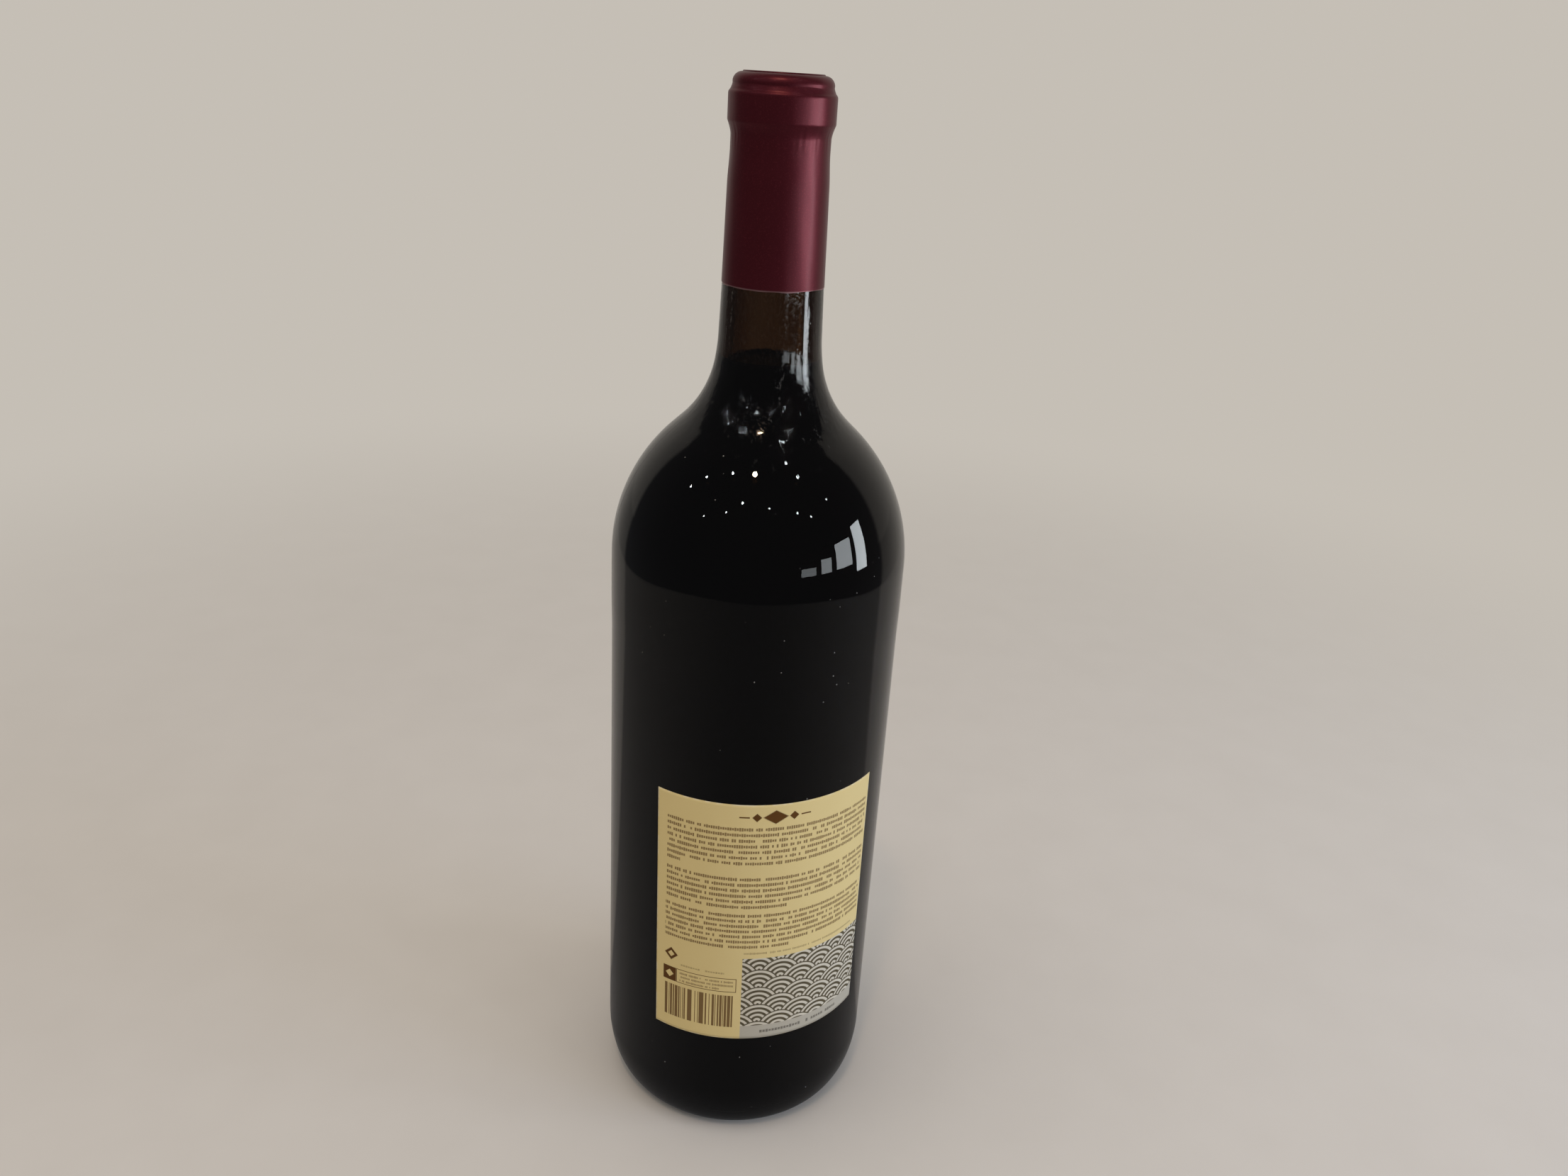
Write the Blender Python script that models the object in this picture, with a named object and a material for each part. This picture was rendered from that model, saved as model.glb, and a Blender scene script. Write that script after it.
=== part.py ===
"""A corked bottle of dark glass, filled with wine, with a metal capsule and two paper labels.

Metres, +Z up. The origin is the centre of the standing ring, on the surface the bottle stands on.
The back label faces -Y. Every round piece is a profile of (radius, height) pairs, turned about Z.
"""

import math

import bmesh
import bpy
import numpy as np

# Driving dimensions of the bottle
BODY_RADIUS = 0.0485
SHOULDER_BAND_RADIUS = 0.04872
SHOULDER_BAND_START = 0.1805
SHOULDER_BAND_FULL = 0.1980
SHOULDER_START = 0.2097
SHOULDER_ARC = 0.0578
SHOULDER_ANGLE = math.radians(46.7)
NECK_ARC = 0.0346
NECK_ARC_ANGLE = math.radians(9.1)
NECK_EASE_ARC = 0.0648
NECK_TAPER = math.radians(1.7)

# Foot of the bottle: a flat standing ring, a tall rounded heel outside it and a dome inside it
RING_INNER_RADIUS = 0.0355
HEEL_WIDTH = 0.0090
HEEL_HEIGHT = 0.0209
DOME_HEIGHT = 0.0210
DOME_POWER = 1.2

# Glass thickness
BODY_WALL = 0.0032
NECK_WALL = 0.0042
FLOOR_WALL = 0.0060
DOME_WALL = 0.0040
HEEL_WALL = 0.0050
MOUTH_RADIUS = 0.00925
MOUTH_DEPTH = 0.0450

# Capsule over the neck
CAPSULE_EDGE = 0.2981
CAPSULE_EDGE_RADIUS = 0.01584
CAPSULE_EDGE_STEP = 0.00012
CAPSULE_KNEE = 0.3260
CAPSULE_KNEE_RADIUS = 0.01530
WAIST_START = 0.3370
WAIST_END = 0.3405
WAIST_RADIUS = 0.01484
BAND_START = 0.3447
BAND_END = 0.3510
BAND_RADIUS = 0.01600
BAND_EDGE_ROUND = 0.0026
BAND_EDGE_ANGLE = math.radians(55)
GROOVE = 0.3541
GROOVE_RADIUS = 0.01478
BEAD_ROUND = 0.0029
BEAD_START = math.radians(4)
TOP_DISC_RADIUS = 0.0120
TOP_HEIGHT = 0.3578
TOP_RIM_HEIGHT = 0.0004
TOP_RIM_WIDTH = 0.0005
CAPSULE_WALL = 0.0005

# The wine's surface, in the neck under the capsule
WINE_LEVEL = 0.2747

# Labels: angles are round the body, -90 degrees faces -Y
BACK_LABEL_ANGLE = math.radians(-77.9)
BACK_LABEL_SPAN = math.radians(94.4)
BACK_LABEL_BOTTOM = 0.0457
BACK_LABEL_HEIGHT = 0.0959
BACK_LABEL_TILT = 0.0128
FRONT_LABEL_ANGLE = math.radians(102.1)
FRONT_LABEL_SPAN = math.radians(118.0)
FRONT_LABEL_BOTTOM = 0.0457
FRONT_LABEL_HEIGHT = 0.1080
LABEL_THICKNESS = 0.0003

# Touching pieces keep this gap
GAP = 0.0003

# Fineness of the turned pieces and of the labels
SEGMENTS = 40
LABEL_COLUMNS = 22
SMOOTH_ANGLE = math.radians(40)
MERGE_DISTANCE = 1e-6


def clear_scene():
    """Removes what the new file starts with."""
    for item in list(bpy.data.objects):
        bpy.data.objects.remove(item, do_unlink=True)


def arc(centre, radii, start, end, steps):
    """Points on an ellipse's arc: centre + (radii.x cos a, radii.y sin a) for a from start to end."""
    angle = np.linspace(start, end, steps)
    across = centre[0] + radii[0] * np.cos(angle)
    up = centre[1] + radii[1] * np.sin(angle)
    return np.stack([across, up], axis=1)


def smooth_step(value, low, high):
    """0 below low, 1 above high, and a smooth S between them."""
    u = np.clip((value - low) / (high - low), 0.0, 1.0)
    return u * u * (3.0 - 2.0 * u)


def offset_inward(profile, distance):
    """Moves each point of an outer profile, drawn from bottom to top, towards the glass's inside.

    The way inside is the left of the way along the profile: (-dz, dr) over its length.
    """
    run = np.gradient(profile, axis=0)
    length = np.hypot(run[:, 0], run[:, 1])
    inward = np.stack([-run[:, 1], run[:, 0]], axis=1) / length[:, None]
    return profile + inward * np.reshape(distance, (-1, 1))


def body_side():
    """The outside from the top of the heel to the shoulder: a straight side, then a slightly proud band."""
    heights = np.linspace(SHOULDER_BAND_START, SHOULDER_BAND_FULL, 4)
    step = smooth_step(heights, SHOULDER_BAND_START, SHOULDER_BAND_FULL)
    band = BODY_RADIUS + (SHOULDER_BAND_RADIUS - BODY_RADIUS) * step
    foot = np.array([[BODY_RADIUS, HEEL_HEIGHT]])
    return np.concatenate([foot, np.stack([band, heights], axis=1)])


def neck_radius(height):
    """The tapered neck's outer radius: it meets the capsule's lower edge nearly flush."""
    at_edge = CAPSULE_EDGE_RADIUS - CAPSULE_EDGE_STEP
    return at_edge + (CAPSULE_EDGE - height) * math.tan(NECK_TAPER)


def shoulder_and_neck():
    """The outside from the shoulder's start to the capsule's lower edge.

    One convex arc, a straight slope, a tight concave arc and a wide one, each tangent to the next.
    The slope's length is what brings the last arc's end onto the neck's taper line.
    """
    convex = arc((SHOULDER_BAND_RADIUS - SHOULDER_ARC, SHOULDER_START), (SHOULDER_ARC, SHOULDER_ARC),
                 0.0, SHOULDER_ANGLE, 9)
    tight = arc((0.0, 0.0), (-NECK_ARC, -NECK_ARC), SHOULDER_ANGLE, NECK_ARC_ANGLE, 7)
    ease = arc((0.0, 0.0), (-NECK_EASE_ARC, -NECK_EASE_ARC), NECK_ARC_ANGLE, NECK_TAPER, 3)
    tight = tight - tight[0]
    ease = ease - ease[0]
    end = convex[-1] + tight[-1] + ease[-1]
    miss = end[0] - neck_radius(end[1])
    slope_length = miss / (math.sin(SHOULDER_ANGLE) - math.tan(NECK_TAPER) * math.cos(SHOULDER_ANGLE))
    slope = slope_length * np.array([-math.sin(SHOULDER_ANGLE), math.cos(SHOULDER_ANGLE)])
    tight = tight + convex[-1] + slope
    ease = ease + tight[-1]
    top = np.array([[neck_radius(CAPSULE_EDGE - GAP), CAPSULE_EDGE - GAP]])
    return np.concatenate([convex, tight, ease[1:], top])


def heel():
    """A quarter of an ellipse from the standing ring up to the straight side."""
    centre = (BODY_RADIUS - HEEL_WIDTH, HEEL_HEIGHT)
    return arc(centre, (HEEL_WIDTH, HEEL_HEIGHT), -math.pi / 2, 0.0, 8)[:-1]


def dome(edge_radius, base, height, steps):
    """The dome from its top on the axis out to its edge: height (1 - (r / edge)^2)^power over its base."""
    radius = np.linspace(0.0, edge_radius, steps)
    rise = height * (1.0 - (radius / edge_radius) ** 2) ** DOME_POWER
    return np.stack([radius, base + rise], axis=1)


def capsule_form(inset):
    """The capsule's outside, or the form that lies the distance inset inside it, from its edge to its top disc.

    A taper, a knee down to the waist, a step out to the band, the band's rounded edge, the groove, the bead.
    """
    knee_heights = np.linspace(CAPSULE_KNEE, WAIST_START, 3)
    drop = smooth_step(knee_heights, CAPSULE_KNEE, WAIST_START)
    knee = CAPSULE_KNEE_RADIUS + (WAIST_RADIUS - CAPSULE_KNEE_RADIUS) * drop
    step_heights = np.linspace(WAIST_END, BAND_START, 4)
    rise = smooth_step(step_heights, WAIST_END, BAND_START)
    step = WAIST_RADIUS + (BAND_RADIUS - WAIST_RADIUS) * rise
    radii = np.concatenate([[CAPSULE_EDGE_RADIUS], knee, step]) - inset
    heights = np.concatenate([[CAPSULE_EDGE], knee_heights, step_heights])
    edge_round = BAND_EDGE_ROUND - inset
    band_edge = arc((BAND_RADIUS - BAND_EDGE_ROUND, BAND_END), (edge_round, edge_round),
                    0.0, BAND_EDGE_ANGLE, 3)
    groove = np.array([[GROOVE_RADIUS - inset, GROOVE]])
    bead_round = BEAD_ROUND - inset
    bead = arc((TOP_DISC_RADIUS, TOP_HEIGHT - BEAD_ROUND), (bead_round, bead_round),
               BEAD_START, math.pi / 2, 5)
    return np.concatenate([np.stack([radii, heights], axis=1), band_edge, groove, bead])


def inner_wall():
    """The glass's inside from the top of the heel to the mouth's bore, under the outside by the wall."""
    outside = np.concatenate([body_side(), shoulder_and_neck()])
    thickness = BODY_WALL + (NECK_WALL - BODY_WALL) * smooth_step(outside[:, 1], SHOULDER_START, CAPSULE_EDGE)
    return offset_inward(outside, thickness)


def inner_foot():
    """The inside of the foot: the floor over the dome, then the rounded inner heel."""
    corner = BODY_RADIUS - HEEL_WALL - HEEL_WIDTH
    floor = dome(corner, FLOOR_WALL, DOME_HEIGHT + DOME_WALL - FLOOR_WALL, 8)
    centre = (corner, HEEL_HEIGHT + FLOOR_WALL)
    reach = BODY_RADIUS - BODY_WALL - corner
    rise = arc(centre, (reach, HEEL_HEIGHT), -math.pi / 2, 0.0, 7)
    return np.concatenate([floor, rise[1:]])


def glass_inside():
    """The whole cavity's profile, from the dome's top on the axis up to the mouth's bore."""
    return np.concatenate([inner_foot(), inner_wall()[1:]])


def glass_profile():
    """The bottle from the dome's top, under the foot, up the outside, over the lip and down the inside.

    Under the capsule the glass keeps the capsule's form, a wall and a gap inside it.
    """
    punt = dome(RING_INNER_RADIUS, 0.0, DOME_HEIGHT, 9)
    finish = capsule_form(CAPSULE_WALL + GAP)
    finish[0, 1] = CAPSULE_EDGE - GAP
    lip_top = finish[-1, 1]
    mouth = np.array([[MOUTH_RADIUS, lip_top], [MOUTH_RADIUS, lip_top - MOUTH_DEPTH]])
    outside = np.concatenate([punt, heel(), body_side(), shoulder_and_neck(), finish])
    return np.concatenate([outside, mouth, glass_inside()[::-1]])


def wine_profile():
    """The wine: the cavity's form, a gap inside it, closed flat at the wine's level."""
    cavity = glass_inside()
    wet = offset_inward(cavity, GAP)
    wet[0] = (0.0, cavity[0, 1] + GAP)
    wet = wet[wet[:, 1] < WINE_LEVEL]
    wall = inner_wall()
    level_radius = np.interp(WINE_LEVEL, wall[:, 1], wall[:, 0]) - GAP
    surface = np.array([[level_radius, WINE_LEVEL], [0.0, WINE_LEVEL]])
    return np.concatenate([wet, surface])


def capsule_profile():
    """A thin cup upside down over the neck: its inside, its outside, and a top disc with a fine raised rim."""
    lining = capsule_form(CAPSULE_WALL)
    ceiling = np.array([[0.0, TOP_HEIGHT - CAPSULE_WALL]])
    rim = arc((TOP_DISC_RADIUS - TOP_RIM_WIDTH, TOP_HEIGHT), (TOP_RIM_WIDTH, TOP_RIM_HEIGHT),
              0.0, math.pi, 4)
    top = np.array([[0.0, TOP_HEIGHT]])
    return np.concatenate([ceiling, lining[::-1], capsule_form(0.0)[:-1], rim, top])


def turned(name, profile):
    """Turns a profile, which starts and ends on the axis, about Z into one closed mesh object."""
    mesh = bpy.data.meshes.new(name)
    shape = bmesh.new()
    corners = [shape.verts.new((radius, 0.0, height)) for radius, height in profile]
    for first, second in zip(corners, corners[1:]):
        shape.edges.new((first, second))
    outline = list(shape.verts) + list(shape.edges)
    bmesh.ops.spin(shape, geom=outline, cent=(0, 0, 0), axis=(0, 0, 1), angle=2 * math.pi,
                   steps=SEGMENTS, use_merge=True)
    bmesh.ops.remove_doubles(shape, verts=list(shape.verts), dist=MERGE_DISTANCE)
    bmesh.ops.recalc_face_normals(shape, faces=list(shape.faces))
    shape.to_mesh(mesh)
    shape.free()
    mesh.shade_smooth()
    mesh.set_sharp_from_angle(angle=SMOOTH_ANGLE)
    piece = bpy.data.objects.new(name, mesh)
    bpy.context.scene.collection.objects.link(piece)
    return piece


def label(name, angle, span, bottom, height, tilt):
    """A rectangle of paper wrapped round the body, turned in its own plane by the small angle tilt.

    Its inner face is BODY_RADIUS + GAP from the axis; Solidify gives the paper's thickness outwards.
    """
    radius = BODY_RADIUS + GAP
    across, up = np.meshgrid(np.linspace(-0.5, 0.5, LABEL_COLUMNS + 1) * span * radius,
                             np.array([-0.5, 0.5]) * height)
    along = across * math.cos(tilt) - up * math.sin(tilt)
    raised = up * math.cos(tilt) + across * math.sin(tilt)
    turn = angle + along / radius
    z = bottom + height / 2 + raised
    points = np.stack([radius * np.cos(turn), radius * np.sin(turn), z], axis=-1)
    shape = bmesh.new()
    rows = [[shape.verts.new(point) for point in row] for row in points]
    lower, upper = rows
    for column in range(LABEL_COLUMNS):
        corners = (lower[column], lower[column + 1], upper[column + 1], upper[column])
        shape.faces.new(corners)
    mesh = bpy.data.meshes.new(name)
    shape.to_mesh(mesh)
    shape.free()
    mesh.shade_smooth()
    piece = bpy.data.objects.new(name, mesh)
    bpy.context.scene.collection.objects.link(piece)
    paper = piece.modifiers.new("paper_thickness", "SOLIDIFY")
    paper.thickness = LABEL_THICKNESS
    paper.offset = 1.0
    return piece


def material(name, colour, roughness, metallic):
    """A Principled material of one colour."""
    finish = bpy.data.materials.new(name)
    finish.use_nodes = True
    shader = finish.node_tree.nodes["Principled BSDF"]
    shader.inputs["Base Color"].default_value = (*colour, 1.0)
    shader.inputs["Roughness"].default_value = roughness
    shader.inputs["Metallic"].default_value = metallic
    return finish


def make_glass_bottle():
    piece = turned("glass_bottle", glass_profile())
    piece.data.materials.append(material("dark_glass", (0.012, 0.013, 0.009), 0.05, 0.0))


def make_wine():
    piece = turned("wine", wine_profile())
    piece.data.materials.append(material("red_wine", (0.020, 0.003, 0.004), 0.05, 0.0))


def make_capsule():
    piece = turned("capsule", capsule_profile())
    piece.data.materials.append(material("burgundy_foil", (0.095, 0.016, 0.022), 0.32, 0.45))


def make_labels():
    paper = material("cream_paper", (0.66, 0.55, 0.30), 0.62, 0.0)
    back = label("back_label", BACK_LABEL_ANGLE, BACK_LABEL_SPAN, BACK_LABEL_BOTTOM,
                 BACK_LABEL_HEIGHT, BACK_LABEL_TILT)
    front = label("front_label", FRONT_LABEL_ANGLE, FRONT_LABEL_SPAN, FRONT_LABEL_BOTTOM,
                  FRONT_LABEL_HEIGHT, 0.0)
    back.data.materials.append(paper)
    front.data.materials.append(paper)


def main():
    clear_scene()
    make_glass_bottle()
    make_wine()
    make_capsule()
    make_labels()


main()
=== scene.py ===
import math

import bpy
import numpy as np
from mathutils import Matrix, Vector


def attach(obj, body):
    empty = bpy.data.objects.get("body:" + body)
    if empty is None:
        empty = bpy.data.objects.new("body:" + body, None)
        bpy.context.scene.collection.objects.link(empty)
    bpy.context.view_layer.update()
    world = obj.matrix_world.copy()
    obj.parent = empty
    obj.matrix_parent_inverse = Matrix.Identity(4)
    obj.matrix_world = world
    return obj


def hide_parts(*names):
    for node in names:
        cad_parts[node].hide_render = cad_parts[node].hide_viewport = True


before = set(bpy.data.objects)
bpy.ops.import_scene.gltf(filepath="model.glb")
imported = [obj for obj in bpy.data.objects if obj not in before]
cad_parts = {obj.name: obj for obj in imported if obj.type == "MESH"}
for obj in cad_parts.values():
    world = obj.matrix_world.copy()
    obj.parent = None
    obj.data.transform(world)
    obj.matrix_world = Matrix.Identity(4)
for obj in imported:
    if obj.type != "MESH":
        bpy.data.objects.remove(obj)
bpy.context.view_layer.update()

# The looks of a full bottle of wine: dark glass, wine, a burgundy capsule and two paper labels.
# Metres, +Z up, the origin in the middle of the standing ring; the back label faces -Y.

MM = 0.001

# The bottle's outline, with the driving sizes of the solid part
BODY_RADIUS = 0.0485
SHOULDER_BAND_RADIUS = 0.04872
SHOULDER_BAND_START = 0.1805
SHOULDER_BAND_FULL = 0.1980
SHOULDER_START = 0.2097
SHOULDER_ARC = 0.0578
SHOULDER_ANGLE = math.radians(46.7)
NECK_ARC = 0.0346
NECK_ARC_ANGLE = math.radians(9.1)
NECK_EASE_ARC = 0.0648
NECK_TAPER = math.radians(1.7)
RING_INNER_RADIUS = 0.0355
HEEL_WIDTH = 0.0090
HEEL_HEIGHT = 0.0209
DOME_HEIGHT = 0.0210
DOME_POWER = 1.2
BODY_WALL = 0.0032
NECK_WALL = 0.0042
FLOOR_WALL = 0.0060
DOME_WALL = 0.0040
HEEL_WALL = 0.0050
MOUTH_RADIUS = 0.00925
MOUTH_EDGE = 0.0008
MOUTH_DEPTH = 0.0450

# The wine: its level, how far it reaches into the glass, and its meniscus
WINE_LEVEL = 0.2747
WINE_INTO_GLASS = 0.0002
MENISCUS_RISE = 1.0 * MM
MENISCUS_REACH = 0.8 * MM

# The capsule over the neck: foil with a crisper band, groove and rim than the solid part's
CAPSULE_EDGE = 0.2981
CAPSULE_EDGE_RADIUS = 0.01584
CAPSULE_EDGE_STEP = 0.00012
CAPSULE_KNEE = 0.3260
CAPSULE_KNEE_RADIUS = 0.01530
WAIST_START = 0.3370
WAIST_END = 0.3405
WAIST_RADIUS = 0.01484
BAND_START = 0.3446
BAND_STEP_POWER = 1.6
BAND_END = 0.3519
BAND_RADIUS = 0.01600
BAND_EDGE_ROUND = 0.0012
BAND_EDGE_ANGLE = math.radians(60)
GROOVE = 0.3545
GROOVE_RADIUS = 0.01478
BEAD_ROUND = 0.0029
BEAD_START = math.radians(4)
TOP_DISC_RADIUS = 0.0120
TOP_HEIGHT = 0.3578
TOP_RIM_HEIGHT = 0.00034
TOP_RIM_WIDTH = 0.0008
PRESSED_RING_RADIUS = 0.0088
PRESSED_RING_WIDTH = 0.35 * MM
PRESSED_RING_HEIGHT = 0.10 * MM
PIN_HOLE_TURN = 0.6
PIN_HOLE_RADIUS = 0.0052
PIN_HOLE_WIDTH = 0.45 * MM
PIN_HOLE_DEPTH = 0.30 * MM
CUT_EDGE_WAVE = 0.35 * MM
CUT_EDGE_REACH = 1.5 * MM
FOIL = 0.0001
FOIL_GAP = 0.00002

# The labels: angles go round the body, and -90 degrees faces -Y
BACK_LABEL_ANGLE = math.radians(-77.9)
BACK_LABEL_SPAN = math.radians(94.4)
BACK_LABEL_BOTTOM = 0.0457
BACK_LABEL_HEIGHT = 0.0959
BACK_LABEL_TILT = 0.0128
FRONT_LABEL_ANGLE = math.radians(102.1)
FRONT_LABEL_SPAN = math.radians(118.0)
FRONT_LABEL_BOTTOM = 0.0457
FRONT_LABEL_HEIGHT = 0.1080
PAPER = 0.00012
PAPER_OUTSIDE = BODY_RADIUS + 0.00014
COCKLE = 0.04 * MM

# The mould's parting lines stand between the labels
SEAM_ANGLES = (BACK_LABEL_ANGLE + math.pi / 2, BACK_LABEL_ANGLE - math.pi / 2)
SEAM_HEIGHT = 0.00004
SEAM_WIDTH = 0.0004
STIPPLES = 72
STIPPLE_DEPTH = 0.00018

# What the glass takes away: density (1 - tint) for each metre of red, green and blue
GLASS_TINT = (0.358, 0.208, 0.037, 1.0)
GLASS_DENSITY = 560.0

# Fineness of the meshes
GLASS_COLUMNS = 288
CAPSULE_COLUMNS = 288
WINE_COLUMNS = 144
SHARP = math.radians(50)

# The camera that took the picture
CAMERA_PLACE = (0.0, -0.384618, 0.359306)
CAMERA_LENS = 28.276
CAMERA_SENSOR = 36.0
CAMERA_PITCH = math.radians(22.863)
CAMERA_YAW = math.radians(1.385)
CAMERA_ROLL = math.radians(-3.636)


class Value:
    """One socket of a node tree, on which Python's operators add Math nodes."""

    def __init__(self, recipe, socket):
        self.recipe = recipe
        self.socket = socket

    def __add__(self, other):
        return self.recipe.math("ADD", self, other)

    def __radd__(self, other):
        return self.recipe.math("ADD", other, self)

    def __sub__(self, other):
        return self.recipe.math("SUBTRACT", self, other)

    def __rsub__(self, other):
        return self.recipe.math("SUBTRACT", other, self)

    def __mul__(self, other):
        return self.recipe.math("MULTIPLY", self, other)

    def __rmul__(self, other):
        return self.recipe.math("MULTIPLY", other, self)

    def __truediv__(self, other):
        return self.recipe.math("DIVIDE", self, other)

    def __rtruediv__(self, other):
        return self.recipe.math("DIVIDE", other, self)

    def __pow__(self, other):
        return self.recipe.math("POWER", self, other)

    def __gt__(self, other):
        return self.recipe.math("GREATER_THAN", self, other)

    def __lt__(self, other):
        return self.recipe.math("LESS_THAN", self, other)

    def __mod__(self, other):
        return self.recipe.math("FLOORED_MODULO", self, other)

    def __abs__(self):
        return self.recipe.math("ABSOLUTE", self)

    def __neg__(self):
        return self.recipe.math("MULTIPLY", self, -1.0)


class Recipe:
    """The nodes of one material or of the world."""

    def __init__(self, owner):
        owner.use_nodes = True
        self.tree = owner.node_tree
        self.tree.nodes.clear()

    def add(self, kind, settings=None, inputs=None, output=0):
        """Adds a node: its settings first, then the values or links of its sockets. Gives back one output."""
        node = self.tree.nodes.new(kind)
        for name, setting in (settings or {}).items():
            setattr(node, name, setting)
        for name, value in (inputs or {}).items():
            if isinstance(value, Value):
                self.tree.links.new(value.socket, node.inputs[name])
            else:
                node.inputs[name].default_value = value
        if not node.outputs:
            return None
        return Value(self, node.outputs[output])

    def math(self, operation, *values):
        return self.add("ShaderNodeMath", {"operation": operation}, dict(enumerate(values)))

    def smooth(self, value, low, high):
        """0 below low, 1 above high, a smooth S between."""
        return self.add("ShaderNodeMapRange", {"interpolation_type": "SMOOTHSTEP"},
                        {"Value": value, "From Min": low, "From Max": high})

    def mix(self, factor, first, second):
        """The first colour where the factor is 0, the second where it is 1."""
        return self.add("ShaderNodeMix", {"data_type": "RGBA"}, {0: factor, 6: first, 7: second}, 2)

    def object_place(self):
        return self.add("ShaderNodeTexCoord", output="Object")

    def parts(self, vector):
        """The x, y and z of a vector."""
        first = self.add("ShaderNodeSeparateXYZ", None, {0: vector})
        sockets = first.socket.node.outputs
        return Value(self, sockets[0]), Value(self, sockets[1]), Value(self, sockets[2])

    def scaled(self, vector, factors):
        return self.add("ShaderNodeVectorMath", {"operation": "MULTIPLY"}, {0: vector, 1: factors})

    def noise(self, vector, scale, detail=2.0, rough=0.5):
        return self.add("ShaderNodeTexNoise", None,
                        {"Vector": vector, "Scale": scale, "Detail": detail, "Roughness": rough})

    def random(self, first, second):
        """A number from 0 to 1 for each pair of whole numbers."""
        cell = self.add("ShaderNodeCombineXYZ", None, {0: first, 1: second})
        return self.add("ShaderNodeTexWhiteNoise", {"noise_dimensions": "2D"}, {"Vector": cell})

    def stretched(self, vector, factors, detail=2.0, rough=0.5):
        """Noise with its own fineness, in features a metre, along x, y and z."""
        return self.noise(self.scaled(vector, factors), 1.0, detail, rough)

    def bump(self, height, distance):
        return self.add("ShaderNodeBump", None, {"Height": height, "Distance": distance, "Strength": 1.0})

    def principled(self, **sockets):
        """The Principled shader; an underscore stands for a space in its sockets' names."""
        inputs = {name.replace("_", " "): value for name, value in sockets.items()}
        return self.add("ShaderNodeBsdfPrincipled", None, inputs)

    def surface(self, **sockets):
        """The Principled shader, as the material's surface."""
        self.add("ShaderNodeOutputMaterial", None, {"Surface": self.principled(**sockets)})


def linear(red, green, blue):
    """A display colour, 0 to 255, as the shader's linear colour: ((c + 0.055) / 1.055)^2.4."""
    shares = [channel / 255 for channel in (red, green, blue)]
    return tuple(((c + 0.055) / 1.055) ** 2.4 if c > 0.04045 else c / 12.92 for c in shares) + (1.0,)


def grid_faces(rows, columns, closed):
    """Quads between neighbours on a grid, wound so that along the columns, then up the rows, faces out."""
    across = columns if closed else columns - 1
    row, column = np.meshgrid(np.arange(rows - 1), np.arange(across), indexing="ij")
    beside = (column + 1) % columns
    quads = [row * columns + column, row * columns + beside,
             (row + 1) * columns + beside, (row + 1) * columns + column]
    return np.stack(quads, axis=-1).reshape(-1, 4)


def show(name, points, faces):
    """Makes the mesh object of a piece, smooth but for its sharp edges, at the origin."""
    mesh = bpy.data.meshes.new(name)
    mesh.from_pydata(points.tolist(), [], faces)
    mesh.shade_smooth()
    mesh.set_sharp_from_angle(angle=SHARP)
    piece = bpy.data.objects.new(name, mesh)
    bpy.context.scene.collection.objects.link(piece)
    return piece


def turned(name, radius, height, angle):
    """Row i, column j is the point (r cos a, r sin a, z); the first and last rows are poles on the axis.

    The profile runs out from the axis below, up the outside and back to the axis, so its faces look out.
    """
    rows, columns = radius.shape
    points = np.stack([radius * np.cos(angle), radius * np.sin(angle), height], axis=-1)
    rings = points[1:-1].reshape(-1, 3)
    poles = np.array([[0.0, 0.0, height[0, 0]], [0.0, 0.0, height[-1, 0]]])
    around = np.arange(columns)
    beside = (around + 1) % columns
    last = (rows - 3) * columns
    first_pole = np.full(columns, len(rings))
    first_fan = np.stack([first_pole, beside, around], axis=1)
    last_fan = np.stack([last + around, last + beside, first_pole + 1], axis=1)
    faces = grid_faces(rows - 2, columns, True).tolist() + first_fan.tolist() + last_fan.tolist()
    return show(name, np.concatenate([rings, poles]), faces)


def spread(profile, angles):
    """The grids of radius, height and angle of a profile of (radius, height) rows."""
    angle, radius = np.meshgrid(angles, profile[:, 0])
    height = np.repeat(profile[:, 1:], len(angles), axis=1)
    return radius.copy(), height.copy(), angle


def arc(centre, radii, start, end, steps):
    """Points on an ellipse's arc: centre + (radii.x cos a, radii.y sin a) for a from start to end."""
    angle = np.linspace(start, end, steps)
    return np.stack([centre[0] + radii[0] * np.cos(angle), centre[1] + radii[1] * np.sin(angle)], axis=1)


def smooth_step(value, low, high):
    """0 below low, 1 above high, and a smooth S between them."""
    u = np.clip((value - low) / (high - low), 0.0, 1.0)
    return u * u * (3.0 - 2.0 * u)


def offset_inward(profile, distance):
    """Moves a profile, drawn upwards, by a distance along its left side: (-dz, dr) over its length."""
    run = np.gradient(profile, axis=0)
    length = np.hypot(run[:, 0], run[:, 1])
    inward = np.stack([-run[:, 1], run[:, 0]], axis=1) / length[:, None]
    return profile + inward * np.reshape(distance, (-1, 1))


def evenly(profile, step):
    """The same line with points a step apart along it."""
    length = np.concatenate([[0.0], np.cumsum(np.hypot(*np.diff(profile, axis=0).T))])
    places = np.linspace(0.0, length[-1], int(length[-1] / step) + 2)
    return np.stack([np.interp(places, length, column) for column in profile.T], axis=1)


def softened(profile, step, reach):
    """Rounds a line's corners: each point of the evenly spaced line is the mean of those within reach.

    The window shrinks towards the two ends, which stay where they are.
    """
    line = evenly(profile, step)
    count = len(line)
    place = np.arange(count)
    half = np.minimum(int(reach / step), np.minimum(place, count - 1 - place))
    total = np.concatenate([np.zeros((1, 2)), np.cumsum(line, axis=0)])
    return (total[place + half + 1] - total[place - half]) / (2 * half + 1)[:, None]


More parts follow.
